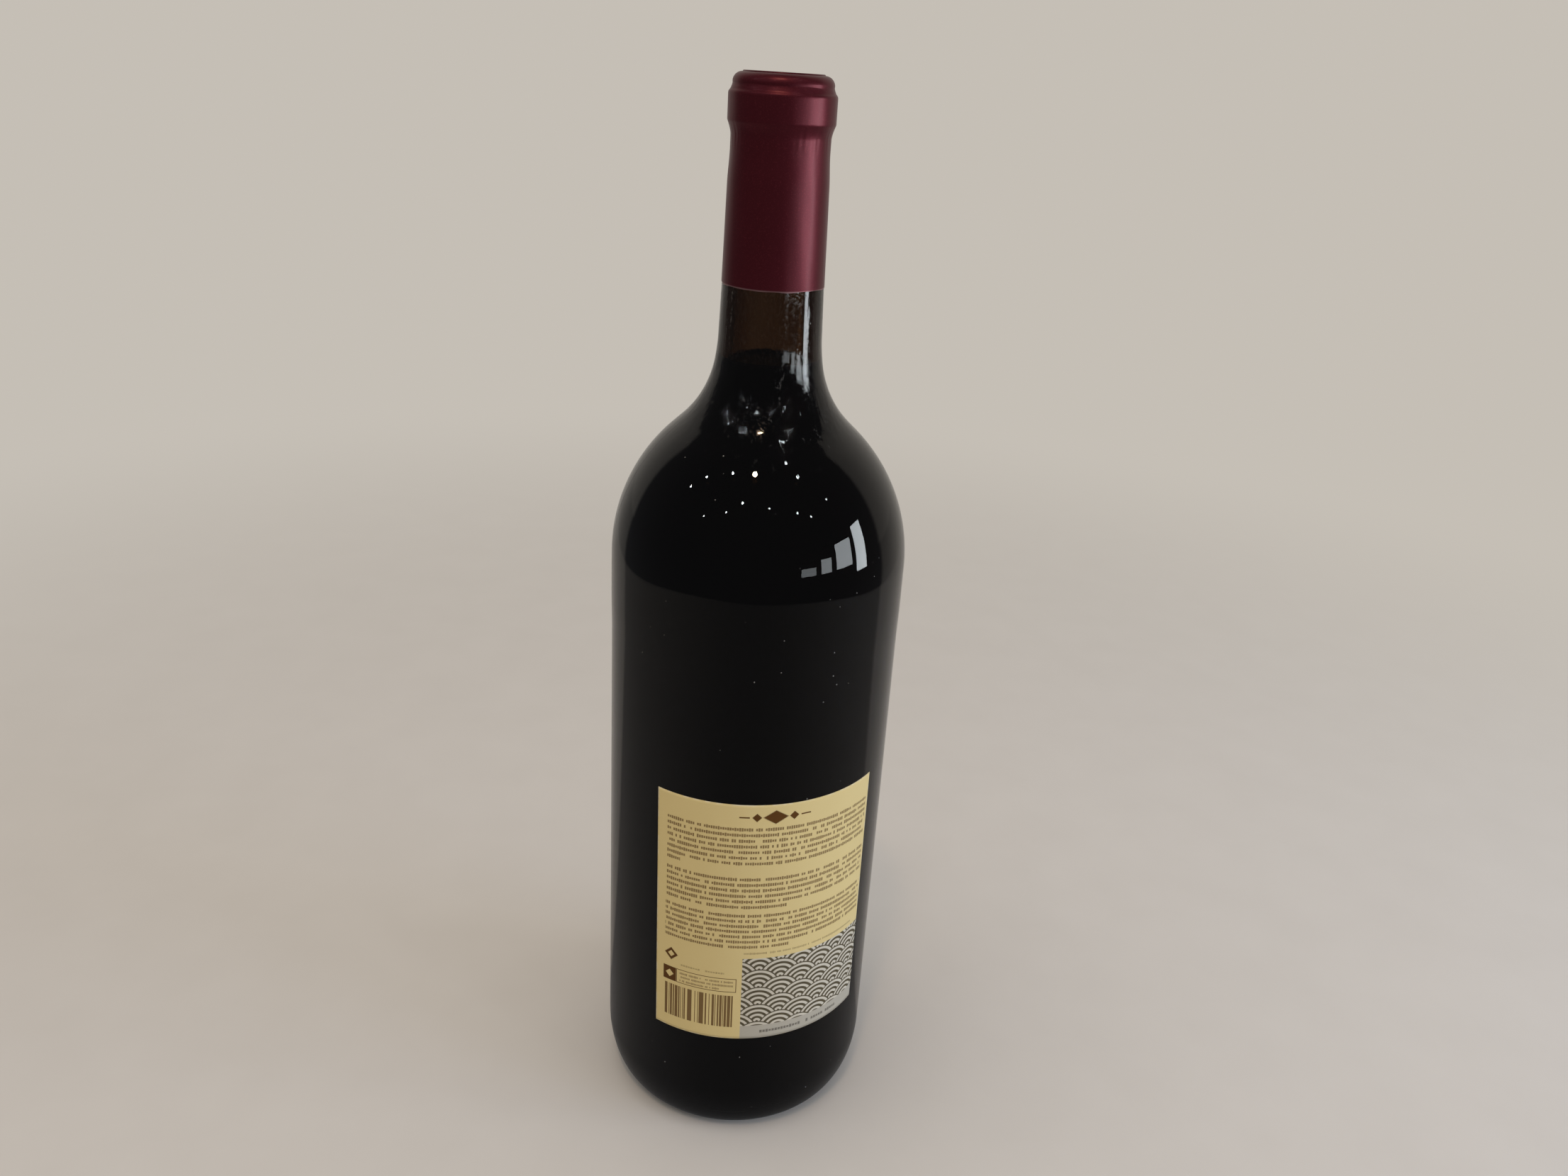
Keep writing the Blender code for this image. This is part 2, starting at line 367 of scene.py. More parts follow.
def waves(angle, along, seed, counts, lengths, amplitude):
    """A sum of cosines round and along a piece, cos(n a + m s + phase), each with its own drawn phase."""
    draw = np.random.default_rng(seed)
    total = np.zeros_like(angle)
    for count, length in zip(counts, lengths):
        phase = draw.uniform(0.0, 2 * math.pi)
        total += np.cos(count * angle + 2 * math.pi * along / length + phase)
    return amplitude * total / len(counts)


def body_side(steps):
    """The straight side from the heel's top, then the slightly proud band below the shoulder."""
    straight = np.linspace(HEEL_HEIGHT, SHOULDER_BAND_START, steps)
    band = np.linspace(SHOULDER_BAND_START, SHOULDER_BAND_FULL, steps)[1:]
    heights = np.concatenate([straight, band])
    proud = smooth_step(heights, SHOULDER_BAND_START, SHOULDER_BAND_FULL)
    radii = BODY_RADIUS + (SHOULDER_BAND_RADIUS - BODY_RADIUS) * proud
    return np.stack([radii, heights], axis=1)


def neck_radius(height):
    """The neck's taper line, which passes just inside the capsule's lower edge."""
    return CAPSULE_EDGE_RADIUS - CAPSULE_EDGE_STEP + (CAPSULE_EDGE - height) * math.tan(NECK_TAPER)


def shoulder_and_neck(steps):
    """A convex arc, a straight slope, a tight concave arc and a wide one, each tangent to the next.

    The slope's length brings the last arc's end onto the neck's taper line.
    """
    convex = arc((SHOULDER_BAND_RADIUS - SHOULDER_ARC, SHOULDER_START), (SHOULDER_ARC, SHOULDER_ARC),
                 0.0, SHOULDER_ANGLE, steps)
    tight = arc((0.0, 0.0), (-NECK_ARC, -NECK_ARC), SHOULDER_ANGLE, NECK_ARC_ANGLE, steps)
    ease = arc((0.0, 0.0), (-NECK_EASE_ARC, -NECK_EASE_ARC), NECK_ARC_ANGLE, NECK_TAPER, steps // 2)
    tight = tight - tight[0]
    ease = ease - ease[0]
    end = convex[-1] + tight[-1] + ease[-1]
    miss = end[0] - neck_radius(end[1])
    length = miss / (math.sin(SHOULDER_ANGLE) - math.tan(NECK_TAPER) * math.cos(SHOULDER_ANGLE))
    slope = length * np.array([-math.sin(SHOULDER_ANGLE), math.cos(SHOULDER_ANGLE)])
    tight = tight + convex[-1] + slope
    ease = ease + tight[-1]
    heights = np.linspace(ease[-1, 1], CAPSULE_EDGE, 6)[1:]
    top = np.stack([neck_radius(heights), heights], axis=1)
    return np.concatenate([convex, tight, ease[1:], top])


def dome(edge_radius, base, height, steps):
    """From the axis to the edge: height (1 - (r / edge)^2)^power over the base."""
    radius = np.linspace(0.0, edge_radius, steps)
    rise = height * (1.0 - (radius / edge_radius) ** 2) ** DOME_POWER
    return np.stack([radius, base + rise], axis=1)


def capsule_form(inset):
    """The capsule's outline, or the form a distance inset inside it, from its edge to its top disc.

    A taper, a knee down to the waist, a step out to the band that grows as t^1.6, the band's rounded edge,
    the groove and the bead.
    """
    taper = np.array([[CAPSULE_EDGE_RADIUS - inset, CAPSULE_EDGE]])
    knee_heights = np.linspace(CAPSULE_KNEE, WAIST_START, 12)
    drop = smooth_step(knee_heights, CAPSULE_KNEE, WAIST_START)
    step_heights = np.linspace(WAIST_END, BAND_START, 16)
    rise = ((step_heights - WAIST_END) / (BAND_START - WAIST_END)) ** BAND_STEP_POWER
    radii = np.concatenate([CAPSULE_KNEE_RADIUS + (WAIST_RADIUS - CAPSULE_KNEE_RADIUS) * drop,
                            WAIST_RADIUS + (BAND_RADIUS - WAIST_RADIUS) * rise]) - inset
    heights = np.concatenate([knee_heights, step_heights])
    edge_round = BAND_EDGE_ROUND - inset
    band_edge = arc((BAND_RADIUS - BAND_EDGE_ROUND, BAND_END), (edge_round, edge_round),
                    0.0, BAND_EDGE_ANGLE, 10)
    groove = np.array([[GROOVE_RADIUS - inset, GROOVE]])
    bead_round = BEAD_ROUND - inset
    bead = arc((TOP_DISC_RADIUS, TOP_HEIGHT - BEAD_ROUND), (bead_round, bead_round),
               BEAD_START, math.pi / 2, 16)
    return np.concatenate([taper, np.stack([radii, heights], axis=1), band_edge, groove, bead])


def inner_wall(steps):
    """The inside of the side, shoulder and neck: the outside moved in by the wall's thickness.

    The wall grows from the body's to the neck's up the shoulder, as a smooth S of the height.
    """
    outside = np.concatenate([body_side(steps), shoulder_and_neck(steps)[1:]])
    share = smooth_step(outside[:, 1], SHOULDER_START, CAPSULE_EDGE)
    return offset_inward(outside, BODY_WALL + (NECK_WALL - BODY_WALL) * share)


def cavity(steps):
    """The hollow's outline: a domed floor, a quarter ellipse at the inner heel and the inner wall."""
    corner = BODY_RADIUS - HEEL_WALL - HEEL_WIDTH
    floor = dome(corner, FLOOR_WALL, DOME_HEIGHT + DOME_WALL - FLOOR_WALL, steps)
    reach = BODY_RADIUS - BODY_WALL - corner
    rise = arc((corner, HEEL_HEIGHT + FLOOR_WALL), (reach, HEEL_HEIGHT), -math.pi / 2, 0.0, steps)
    wall = inner_wall(steps)
    above = wall[:, 1] > rise[-1, 1]
    return np.concatenate([floor, rise[1:], wall[above]])


def glass_angles():
    """Even steps round the bottle, with finer ones over the two parting lines."""
    even = np.arange(GLASS_COLUMNS) * 2 * math.pi / GLASS_COLUMNS
    fine = np.linspace(-2.5, 2.5, 9) * SEAM_WIDTH / BODY_RADIUS
    seams = [(seam + fine) % (2 * math.pi) for seam in SEAM_ANGLES]
    return np.unique(np.concatenate([even, *seams]).round(6))


def parting_lines(angle):
    """The height of the mould's two fine ridges: h exp(-(R (a - seam) / width)^2)."""
    total = np.zeros_like(angle)
    for seam in SEAM_ANGLES:
        away = (angle - seam + math.pi) % (2 * math.pi) - math.pi
        total += np.exp(-(BODY_RADIUS * away / SEAM_WIDTH) ** 2)
    return SEAM_HEIGHT * total


def make_glass():
    """The bottle: dome, stippled ring, heel, side, shoulder, neck, lip, bore and the hollow, one closed skin.

    The ring is z = depth sin^2(pi t) (1 - cos^4(n a / 2)) over its width t: the stipples touch z = 0.
    """
    punt = dome(RING_INNER_RADIUS, 0.0, DOME_HEIGHT, steps=56)
    ring_rows = 9
    ring_radii = np.linspace(RING_INNER_RADIUS, BODY_RADIUS - HEEL_WIDTH, ring_rows)
    ring = np.stack([ring_radii, np.zeros(ring_rows)], axis=1)[1:-1]
    heel = arc((BODY_RADIUS - HEEL_WIDTH, HEEL_HEIGHT), (HEEL_WIDTH, HEEL_HEIGHT),
               -math.pi / 2, 0.0, steps=30)
    side = np.concatenate([body_side(steps=12)[1:], shoulder_and_neck(steps=30)[1:]])
    finish_step = 0.0016
    finish = evenly(capsule_form(FOIL + FOIL_GAP)[1:], finish_step)
    lip = finish[-1]
    mouth = np.array([[MOUTH_RADIUS + MOUTH_EDGE, lip[1]], [MOUTH_RADIUS, lip[1] - MOUTH_EDGE],
                      [MOUTH_RADIUS, lip[1] - MOUTH_DEPTH]])
    profile = np.concatenate([punt, ring, heel, side, finish, mouth, cavity(steps=14)[::-1]])
    radius, height, angle = spread(profile, glass_angles())
    first = len(punt) + len(ring)
    rows_clear_below = 6
    rows_clear_above = 4
    outside = slice(first + rows_clear_below, first + len(heel) + len(side) - rows_clear_above)
    radius[outside] += parting_lines(angle[outside])
    across = np.linspace(0.0, 1.0, ring_rows)[1:-1, None]
    pillow = np.cos(STIPPLES * angle[len(punt):first] / 2) ** 4
    height[len(punt):first] += STIPPLE_DEPTH * np.sin(math.pi * across) ** 2 * (1.0 - pillow)
    piece = turned("glass_bottle_skin", radius, height, angle)
    piece.data.materials.append(glass_finish())
    return piece


def make_wine():
    """The wine, reaching just into the glass, flat on top with a meniscus: rise exp(-(R - r) / reach)."""
    wet = offset_inward(cavity(steps=24), -WINE_INTO_GLASS)
    wet[0] = (0.0, wet[1, 1])
    wet = wet[wet[:, 1] < WINE_LEVEL]
    wall = inner_wall(steps=24)
    edge = np.interp(WINE_LEVEL, wall[:, 1], wall[:, 0]) + WINE_INTO_GLASS
    from_wall = np.array([0.0, 0.15, 0.35, 0.6, 1.0, 1.5, 2.2, 3.2, 5.0, 7.5]) * MM
    radii = edge - from_wall
    rise = MENISCUS_RISE * np.exp(-(edge - radii) / MENISCUS_REACH)
    surface = np.stack([radii, WINE_LEVEL + rise], axis=1)
    centre = np.array([[0.0, WINE_LEVEL]])
    profile = np.concatenate([wet, surface, centre])
    angles = np.arange(WINE_COLUMNS) * 2 * math.pi / WINE_COLUMNS
    piece = turned("wine_body", *spread(profile, angles))
    piece.data.materials.append(wine_finish())
    return piece


def foil_relief(radius, height, angle):
    """What hands and heat leave in the foil: soft facets, puckers at the waist and an overlap at the back."""
    soft = waves(angle, height, seed=3, counts=(3, 5, 7, 11, 17), lengths=(0.09, 0.05, 0.07, 0.03, 0.04),
                 amplitude=0.05 * MM)
    puckers = waves(angle, height, seed=5, counts=(31, 38, 47, 55), lengths=(0.03, 0.04, -0.03, -0.05),
                    amplitude=0.04 * MM)
    waist = np.exp(-((height - WAIST_END) / (3.5 * MM)) ** 2)
    away = (angle - FRONT_LABEL_ANGLE + math.pi) % (2 * math.pi) - math.pi
    overlap = 0.06 * MM * (smooth_step(away, -0.012, 0.0) - smooth_step(away, 0.10, 0.30))
    return soft + puckers * waist + overlap


def make_capsule():
    """The foil: its lining, its cut edge, its outside and a top disc with a rim, a ring and two pin holes."""
    outline = capsule_form(0.0)
    taper_heights = np.linspace(CAPSULE_EDGE, CAPSULE_KNEE, 16)[:-1]
    taper_radii = np.interp(taper_heights, outline[:2, 1], outline[:2, 0])
    taper = np.stack([taper_radii, taper_heights], axis=1)
    step = 0.16 * MM
    rounding = 0.34 * MM
    upper = softened(outline[1:], step, rounding)
    rim = arc((TOP_DISC_RADIUS - TOP_RIM_WIDTH / 2, TOP_HEIGHT), (TOP_RIM_WIDTH / 2, TOP_RIM_HEIGHT),
              0.0, math.pi, 9)
    disc = np.linspace(TOP_DISC_RADIUS - TOP_RIM_WIDTH, 0.0, 48)
    pressed = PRESSED_RING_HEIGHT * np.exp(-((disc - PRESSED_RING_RADIUS) / PRESSED_RING_WIDTH) ** 2)
    top = np.stack([disc, TOP_HEIGHT + pressed], axis=1)[1:]
    outside = np.concatenate([taper, upper[:-1], rim, top])
    lining_step = 0.0015
    lining = evenly(capsule_form(FOIL), lining_step)
    ceiling = np.array([[0.0, TOP_HEIGHT - FOIL]])
    profile = np.concatenate([ceiling, lining[::-1], outside])
    angles = np.arange(CAPSULE_COLUMNS) * 2 * math.pi / CAPSULE_COLUMNS
    radius, height, angle = spread(profile, angles)
    first = 1 + len(lining)
    side = slice(first, first + len(taper) + len(upper) - 1)
    radius[side] += foil_relief(radius[side], height[side], angle[side])
    cut = waves(angle, height * 0.0, seed=11, counts=(2, 3, 5, 8, 13), lengths=(1.0, 1.0, 1.0, 1.0, 1.0),
                amplitude=CUT_EDGE_WAVE)
    near_edge = np.exp(-np.clip(height - CAPSULE_EDGE, 0.0, None) / CUT_EDGE_REACH)
    height += cut * near_edge
    flat = slice(len(profile) - len(top), len(profile) - 1)
    for turn in (PIN_HOLE_TURN, PIN_HOLE_TURN + math.pi):
        x = radius[flat] * np.cos(angle[flat]) - PIN_HOLE_RADIUS * math.cos(turn)
        y = radius[flat] * np.sin(angle[flat]) - PIN_HOLE_RADIUS * math.sin(turn)
        height[flat] -= PIN_HOLE_DEPTH * np.exp(-(x * x + y * y) / PIN_HOLE_WIDTH ** 2)
    piece = turned("capsule_foil", radius, height, angle)
    piece.data.materials.append(foil_finish())
    return piece


def paper(name, angle, span, bottom, height, tilt, seed):
    """A label: (u, v) on the sheet is turned by the tilt and wrapped, at angle + u / R, z = bottom + v.

    The sheet cockles by a few hundredths of a millimetre. Solidify gives the paper its thickness inwards.
    """
    width = span * PAPER_OUTSIDE
    rows, columns = 90, 120
    u, v = np.meshgrid(np.linspace(-0.5, 0.5, columns), np.linspace(-0.5, 0.5, rows))
    across, up = u * width, v * height
    along = across * math.cos(tilt) - up * math.sin(tilt)
    raised = up * math.cos(tilt) + across * math.sin(tilt)
    turn = angle + along / PAPER_OUTSIDE
    inset = np.minimum(0.5 - np.abs(u), 0.5 - np.abs(v))
    cockle = waves(turn, raised, seed, counts=(9, 14, 23, 31), lengths=(0.05, -0.03, 0.04, -0.06),
                   amplitude=COCKLE)
    radius = PAPER_OUTSIDE + np.abs(cockle) * smooth_step(inset, 0.0, 0.12)
    z = bottom + height / 2 + raised
    points = np.stack([radius * np.cos(turn), radius * np.sin(turn), z], axis=-1).reshape(-1, 3)
    faces = grid_faces(rows, columns, False)
    piece = show(name, points, faces.tolist())
    sheet = piece.data.uv_layers.new(name="sheet")
    flat = np.stack([u + 0.5, v + 0.5], axis=-1).reshape(-1, 2)
    sheet.data.foreach_set("uv", flat[faces.ravel()].astype(np.float32).ravel())
    thick = piece.modifiers.new("paper_thickness", "SOLIDIFY")
    thick.thickness = PAPER
    thick.offset = -1.0
    return piece


# The finishes: colours, and fineness in features a metre along x, y and z

GLASS_CLEAR = (0.97, 0.95, 0.91, 1.0)
GLASS_BROWNER = (0.88, 0.85, 0.79, 1.0)
GLASS_AMBER = (0.74, 0.62, 0.45, 1.0)
GLASS_SMEARS = (60.0, 60.0, 22.0)
GLASS_TONES = (40.0, 40.0, 12.0)
DUST = (0.42, 0.40, 0.37, 1.0)
DUST_CELLS = 240.0
NECK_START = 0.244
NECK_FULL = 0.264
NECK_STREAKS = (330.0, 330.0, 34.0)
NECK_GRAIN = (1350.0, 1350.0, 720.0)
NECK_RUNS = (170.0, 170.0, 12.0)
NECK_LINES = (420.0, 420.0, 9.0)
WINE_DEEP = (0.005, 0.0008, 0.0011, 1.0)
WINE_CLOUDY = (0.008, 0.0012, 0.0017, 1.0)
WINE_THIN = (0.020, 0.0026, 0.0038, 1.0)
FOIL_BURGUNDY = (0.128, 0.011, 0.021, 1.0)
FOIL_DARKER = (0.106, 0.009, 0.017, 1.0)
FOIL_SPARK = (0.27, 0.035, 0.050, 1.0)
# The pale cut edge of the foil, with a painted highlight along it
FOIL_CUT_EDGE_HIGHLIGHT = (0.42, 0.26, 0.26, 1.0)
FOIL_STREAKS = (420.0, 420.0, 28.0)
FOIL_FLAKE = 2600.0


def glass_finish():
    """Very dark olive-brown glass, slightly wavy and dusty; streaked, grained and partly frosted in the neck.

    The glass is clear at its surface and takes the light away along its way through: exp(-a s).
    """
    material = bpy.data.materials.new("dark_bottle_glass")
    recipe = Recipe(material)
    place = recipe.object_place()
    _, _, z = recipe.parts(place)
    in_neck = recipe.smooth(z, NECK_START, NECK_FULL)
    wavy = recipe.noise(place, 26.0, 1.0)
    streaks = recipe.stretched(place, NECK_STREAKS)
    grain = recipe.stretched(place, NECK_GRAIN)
    runs = recipe.smooth(recipe.stretched(place, NECK_RUNS), 0.44, 0.58)
    height = wavy + streaks * (0.03 + in_neck * 1.60) + grain * (0.3 + runs) * in_neck * 1.1
    smears = recipe.stretched(place, GLASS_SMEARS, 3.0, 0.6)
    frosted = recipe.smooth(grain, 0.48, 0.60) * in_neck * (0.6 + runs * 0.4)
    rough = 0.002 + recipe.smooth(smears, 0.55, 0.85) * 0.018 + frosted * 0.19
    colour = recipe.mix(recipe.stretched(place, GLASS_TONES, 1.0), GLASS_CLEAR, GLASS_BROWNER)
    colour = recipe.mix(runs * in_neck * 0.8, colour, GLASS_AMBER)
    glass = recipe.principled(Base_Color=colour, Roughness=rough, IOR=1.52, Transmission_Weight=1.0,
                              Normal=recipe.bump(height, 0.045 * MM))
    cell = recipe.add("ShaderNodeTexVoronoi", None, {"Vector": place, "Scale": DUST_CELLS})
    patches = recipe.smooth(recipe.noise(place, 38.0, 2.0), 0.50, 0.66)
    specks = (1.0 - recipe.smooth(cell, 0.035, 0.075)) * patches * 0.55
    lines = recipe.smooth(recipe.stretched(place, NECK_LINES, 1.0), 0.62, 0.70)
    specks = specks + lines * in_neck * recipe.smooth(grain, 0.50, 0.62) * 0.10
    dust = recipe.principled(Base_Color=DUST, Roughness=0.9)
    dusty = recipe.add("ShaderNodeMixShader", None, {0: specks, 1: glass, 2: dust})
    depth = recipe.add("ShaderNodeVolumeAbsorption", None, {"Color": GLASS_TINT, "Density": GLASS_DENSITY})
    recipe.add("ShaderNodeOutputMaterial", None, {"Surface": dusty, "Volume": depth})
    return material


def wine_finish():
    """Red wine: nearly black in depth, a little redder where the surface thins at the glass."""
    material = bpy.data.materials.new("red_wine_liquid")
    recipe = Recipe(material)
    place = recipe.object_place()
    x, y, z = recipe.parts(place)
    out = recipe.math("SQRT", x * x + y * y)
    thin = recipe.smooth(z, WINE_LEVEL - 0.0006, WINE_LEVEL + 0.0008) * recipe.smooth(out, 0.010, 0.0135)
    cloud = recipe.noise(place, 45.0, 2.0)
    colour = recipe.mix(thin, recipe.mix(cloud, WINE_DEEP, WINE_CLOUDY), WINE_THIN)
    recipe.surface(Base_Color=colour, Roughness=0.02 + cloud * 0.03, IOR=1.34, Specular_IOR_Level=0.02)
    return material


def foil_finish():
    """Satin burgundy lacquer on foil: fine flake, upright streaks, and a pale line at its cut edge: the bare
    edge with a painted highlight along it.
    """
    material = bpy.data.materials.new("burgundy_lacquered_foil")
    recipe = Recipe(material)
    place = recipe.object_place()
    _, _, z = recipe.parts(place)
    flake = recipe.noise(place, FOIL_FLAKE, 2.0)
    cloud = recipe.noise(place, 70.0, 3.0)
    streaks = recipe.stretched(place, FOIL_STREAKS, 3.0, 0.6)
    base = recipe.mix(cloud, FOIL_BURGUNDY, FOIL_DARKER)
    base = recipe.mix(recipe.smooth(flake, 0.52, 0.75) * 0.35, base, FOIL_SPARK)
    # Painted highlight: the pale line along the lower cut edge stands for the bare edge and the light it
    # catches, painted into the colour.
    edge = 1.0 - recipe.smooth(z, CAPSULE_EDGE + 0.15 * MM, CAPSULE_EDGE + 0.45 * MM)
    colour = recipe.mix(edge * 0.6, base, FOIL_CUT_EDGE_HIGHLIGHT)
    rough = 0.33 + streaks * 0.10 + flake * 0.06
    height = streaks * 0.5 + flake * 0.06
    recipe.surface(Base_Color=colour, Metallic=0.75, Roughness=rough, Coat_Weight=0.22, Coat_Roughness=0.28,
                   Normal=recipe.bump(height, 0.02 * MM))
    return material


class Sheet:
    """A label's printing plan: across and up are millimetres from the sheet's lower left corner."""

    def __init__(self, recipe, width, height):
        self.recipe = recipe
        plan = recipe.add("ShaderNodeUVMap", {"uv_map": "sheet"})
        u, v, _ = recipe.parts(plan)
        self.width = width
        self.height = height
        self.across = u * width
        self.up = v * height
        self.soft = 0.05

    def block(self, left, right, low, high):
        """1 inside a rectangle: its distance outside, max(|x - cx| - w, |y - cy| - h), turned to a mask."""
        beside = abs(self.across - (left + right) / 2) - (right - left) / 2
        above = abs(self.up - (low + high) / 2) - (high - low) / 2
        return 1.0 - self.recipe.smooth(self.recipe.math("MAXIMUM", beside, above), -self.soft, self.soft)

    def frame(self, left, right, low, high, line):
        """The outline of a rectangle, a line wide, drawn inside it."""
        inner = self.block(left + line, right - line, low + line, high - line)
        return self.block(left, right, low, high) - inner

    def away(self, across, up):
        """The distance from a point of the sheet."""
        x = self.across - across
        y = self.up - up
        return self.recipe.math("SQRT", x * x + y * y)

    def ring(self, across, up, radius, line):
        """A round line of the given width about a point."""
        off = abs(self.away(across, up) - radius)
        return 1.0 - self.recipe.smooth(off, line / 2 - self.soft, line / 2 + self.soft)

    def lozenge(self, across, up, half_width, half_height):
        """A diamond: |x| / w + |y| / h below 1."""
        size = abs(self.across - across) / half_width + abs(self.up - up) / half_height
        return 1.0 - self.recipe.smooth(size, 0.9, 1.1)

    def words(self, left, right, top, rows, pitch, last_right, seed, cell=0.78):
        """Rows of short dashes in groups, in place of small print: no letters.

        A dash fills about three quarters of its cell and, by a drawn number, 38 to 62% of its row's height.
        Another drawn number leaves out about one dash in seven. The last row ends at last_right.
        """
        half_wide = 0.39
        half_tall = 0.31
        edge = 0.05
        recipe = self.recipe
        depth = (top - self.up) / pitch
        row = recipe.math("FLOOR", depth)
        place = depth - row
        count = self.across / cell
        number = recipe.math("FLOOR", count)
        inside = count - number
        draw = recipe.random(number, row + seed)
        lift = recipe.random(number + 0.5, row + seed) * 0.12
        upright = 1.0 - recipe.smooth(abs(place - 0.5) + lift, half_tall - edge, half_tall + edge)
        dash = 1.0 - recipe.smooth(abs(inside - 0.5), half_wide - edge, half_wide + edge)
        kept = draw > 0.145
        page = self.block(left, right, top - rows * pitch, top)
        short = (row > rows - 1.5) * (self.across > last_right)
        return page * upright * dash * kept * (1.0 - short)

    def bars(self, left, right, low, high, unit, seed):
        """Upright bars of one or more units: of two units side by side the first is inked more often."""
        number = self.recipe.math("FLOOR", self.across / unit)
        draw = self.recipe.random(number, number * 0.0 + seed)
        kept = draw > 0.24 + (number % 2.0) * 0.46
        return self.block(left, right, low, high) * kept

    def scallops(self, width, lines):
        """Overlapping fans, row over row: rings about centres a width apart, each row half a width aside.

        A point belongs to the fan of the row below where that is nearer than half a width, else to its own.
        The value is the share of the ring's pitch, 0 to 1, at the point's distance from its fan's centre.
        """
        recipe = self.recipe
        pitch = width / 4
        row = recipe.math("FLOOR", self.up / pitch)
        rise = self.up - row * pitch
        own = (self.across / width + row * 0.5) % 1.0 - 0.5
        below = (self.across / width + row * 0.5 + 0.5) % 1.0 - 0.5
        near = recipe.math("SQRT", (own * width) ** 2.0 + rise ** 2.0)
        far = recipe.math("SQRT", (below * width) ** 2.0 + (rise + pitch) ** 2.0)
        covered = far < width / 2
        distance = near + (far - near) * covered
        return (distance * (lines / (width / 2))) % 1.0


# The papers' colours, and what is printed on them in millimetres from the sheet's lower left corner

CREAM = (0.72, 0.57, 0.255, 1.0)
CREAM_DARKER = (0.68, 0.53, 0.232, 1.0)
CREAM_FIBRE = (0.82, 0.70, 0.44, 1.0)
CREAM_WORN = (0.78, 0.70, 0.52, 1.0)
BACK_BROWN = linear(96, 58, 8)
SILVER = linear(206, 198, 180)
SILVER_STRIP = linear(180, 173, 157)
SILVER_LINE = linear(72, 62, 40)
SILVER_LINE_PALER = linear(102, 92, 69)
SILVER_CAPTION = linear(96, 90, 80)
FRONT_BROWN = linear(98, 66, 34)
FRONT_BURGUNDY = linear(92, 26, 34)
FRONT_FANS = linear(150, 120, 62)
FRONT_GOLD = linear(196, 170, 110)

# Left, right, top, rows, pitch, end of the last row, seed and cell of each block of dashes, and its ink
BACK_BLOCKS = (
    (4.0, 78.8, 87.7, 8, 2.2, 9.0, 3.0, 0.78, 1.0),
    (3.8, 79.0, 68.2, 6, 2.22, 46.0, 23.0, 0.78, 1.0),
    (3.6, 79.0, 53.5, 7, 2.14, 47.4, 41.0, 0.78, 1.0),
    (32.0, 76.0, 37.6, 1, 1.5, 76.0, 57.0, 0.5, 0.6),
    (10.0, 25.6, 28.7, 1, 1.3, 25.6, 61.0, 0.9, 0.55),
    (9.6, 28.8, 25.2, 3, 1.55, 24.0, 67.0, 0.5, 0.8),
)
PANEL_LEFT = 31.7
PANEL_TOP = 34.7
STRIP_TOP = 5.6
ORNAMENT = (40.8, 91.2)
SMALL_FRAME = (8.3, 29.9, 20.2, 26.0)
BARS = (3.6, 28.9, 5.0, 18.7)
BAR_UNIT = 0.27
FRONT_RING_UP = 74.0
FRONT_BAND = (33.0, 45.0)


def paper_ground(recipe, sheet):
    """The bare cream paper's colour and its tooth: cloudy fibre, and a paler worn line along its edges."""
    place = recipe.object_place()
    cloud = recipe.noise(place, 60.0, 3.0)
    fibre = recipe.noise(recipe.scaled(place, (1.0, 1.0, 2.2)), 1500.0, 2.0)
    base = recipe.mix(cloud, CREAM, CREAM_DARKER)
    base = recipe.mix(fibre * 0.12, base, CREAM_FIBRE)
    border = 0.35
    inner = sheet.block(border, sheet.width - border, border, sheet.height - border)
    worn = (1.0 - inner) * recipe.smooth(recipe.noise(place, 420.0, 2.0), 0.42, 0.62)
    return recipe.mix(worn * 0.6, base, CREAM_WORN), fibre


def paper_surface(recipe, colour, fibre, ink):
    """Uncoated paper with a slightly smoother ink."""
    rough = 0.62 - ink * 0.14 + fibre * 0.10
    recipe.surface(Base_Color=colour, Roughness=rough, Specular_IOR_Level=0.35,
                   Normal=recipe.bump(fibre + ink * 0.4, 0.012 * MM))


def back_marks(sheet):
    """The back label's ornament of three lozenges between two rules, three small marks and the bars."""
    across, up = ORNAMENT
    marks = sheet.lozenge(across, up, 4.2, 2.6)
    for side in (-1.0, 1.0):
        marks = marks + sheet.lozenge(across + side * 6.2, up, 1.6, 1.6)
        marks = marks + sheet.block(across + side * 10.3 - 1.7, across + side * 10.3 + 1.7, 90.95, 91.45)
    marks = marks + sheet.lozenge(6.2, 31.6, 2.6, 2.6) - sheet.lozenge(6.2, 31.6, 1.3, 1.3)
    marks = marks + sheet.block(3.1, 8.2, 20.2, 26.0) - sheet.lozenge(5.65, 23.1, 1.6, 1.6)
    marks = marks + sheet.frame(*SMALL_FRAME, 0.25)
    return marks + sheet.bars(*BARS, BAR_UNIT, 5.0) * 0.85


def silver_panel(recipe, sheet, strip):
    """The colours of the panel: fans in two tones of line on silver, and a plain strip with a caption."""
    fans = sheet.scallops(15.0, 4.0)
    lines = recipe.smooth(abs(fans - 0.5), 0.19, 0.31)
    grain = recipe.noise(recipe.object_place(), 500.0, 3.0)
    shade = recipe.mix(grain, SILVER_LINE, SILVER_LINE_PALER)
    colour = recipe.mix(lines * (1.0 - strip), SILVER, shade)
    colour = recipe.mix(strip, colour, SILVER_STRIP)
    caption = sheet.words(38.0, 74.0, 3.9, 1, 2.2, 70.0, 71.0, 1.1) * 0.8
    return recipe.mix(caption * strip, colour, SILVER_CAPTION)


